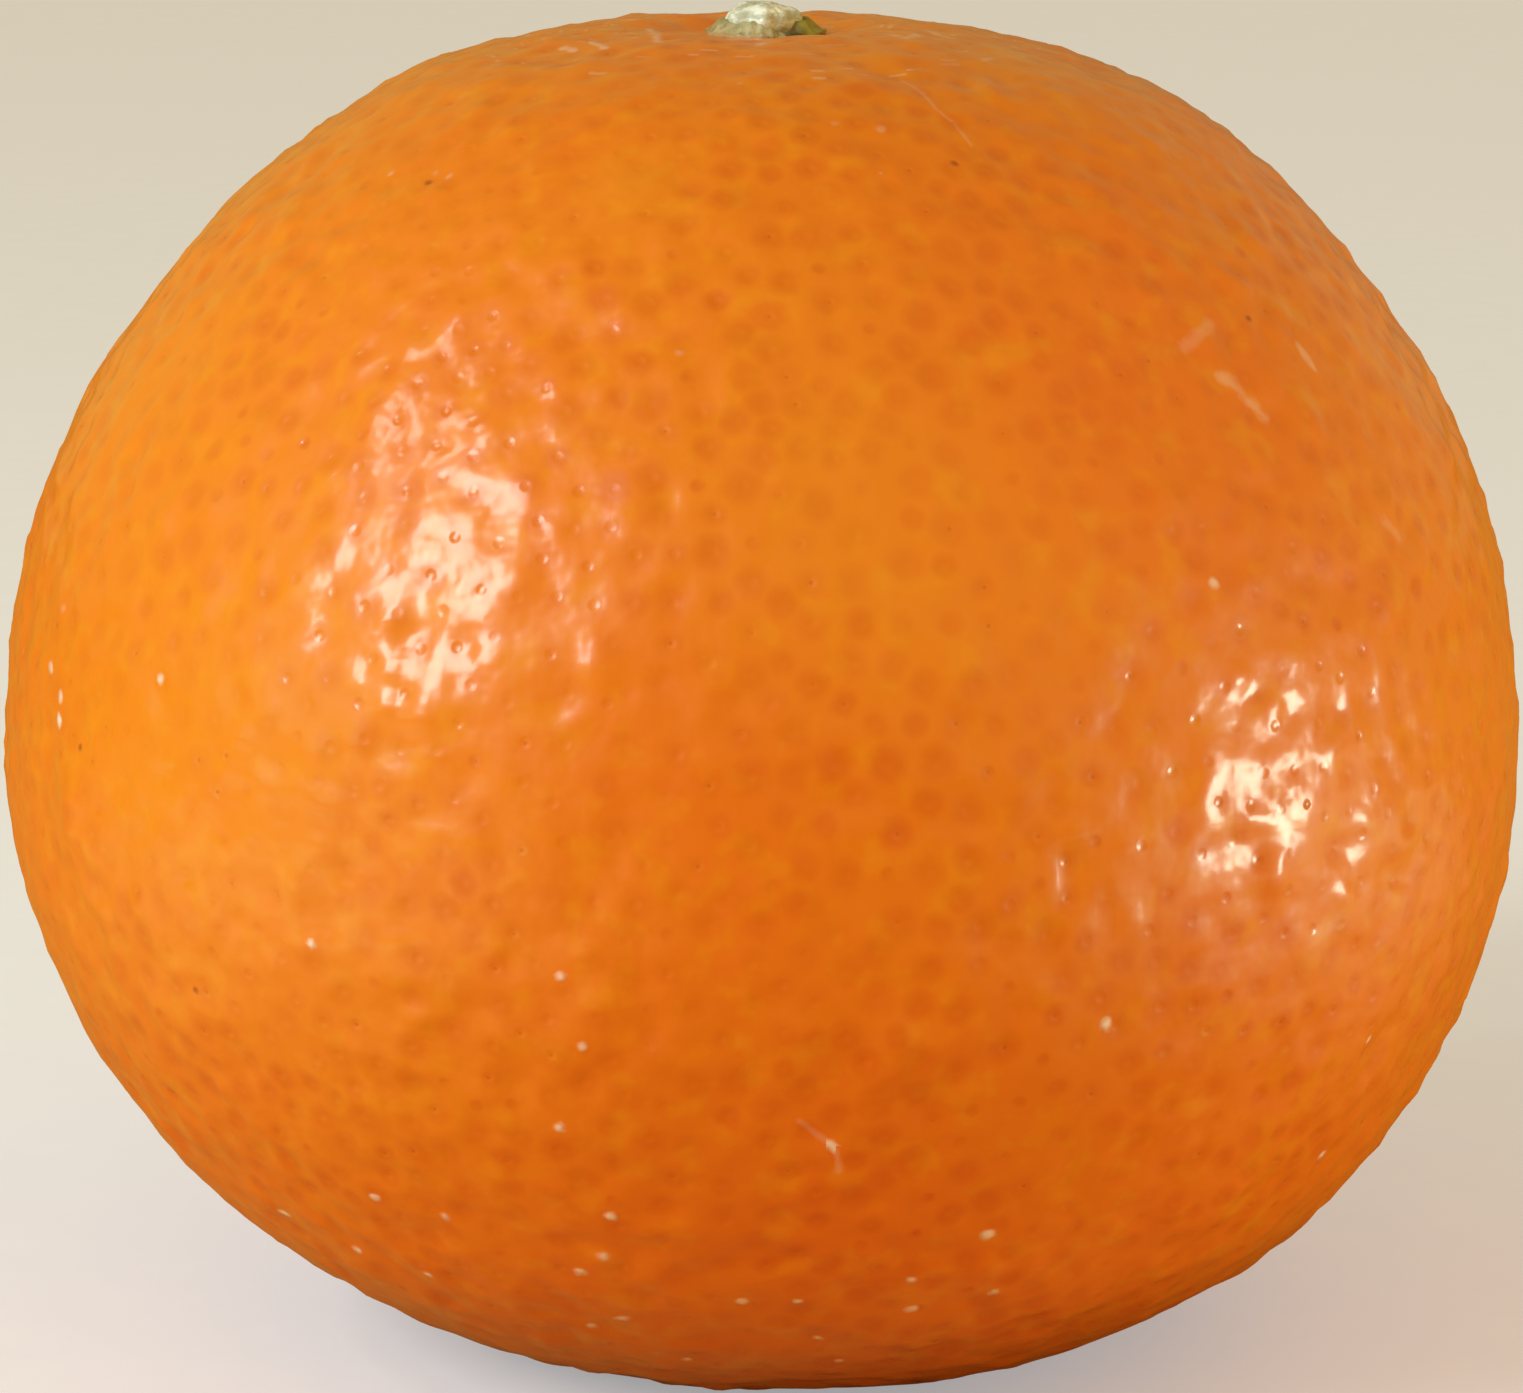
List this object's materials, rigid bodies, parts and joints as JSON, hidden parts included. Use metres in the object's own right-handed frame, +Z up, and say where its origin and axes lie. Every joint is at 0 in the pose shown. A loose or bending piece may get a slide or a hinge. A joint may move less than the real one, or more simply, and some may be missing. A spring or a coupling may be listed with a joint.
{
  "type": "tangor",
  "caption": "Whole fresh tangor: a slightly flattened round citrus fruit with pitted orange rind, a small green calyx and a dried stem stub, resting on its blossom end.",
  "frame": {"origin": "on the resting surface, straight below the stem axis, at the bottom centre of the fruit's box", "axes": "+Z up through the stem end, -Y towards the front that the picture shows, +X to its right"},
  "size_m": [0.0684, 0.0685, 0.0604],
  "materials": {
    "rind": "waxy citrus rind, satin gloss, pitted with oil glands",
    "calyx": "dry olive-green sepals, matte",
    "stem": "pale dried cut stem, matte"
  },
  "bodies": {
    "root": {"fruit": "rind", "calyx": "calyx", "stem_stub": "stem"}
  },
  "joints": []
}
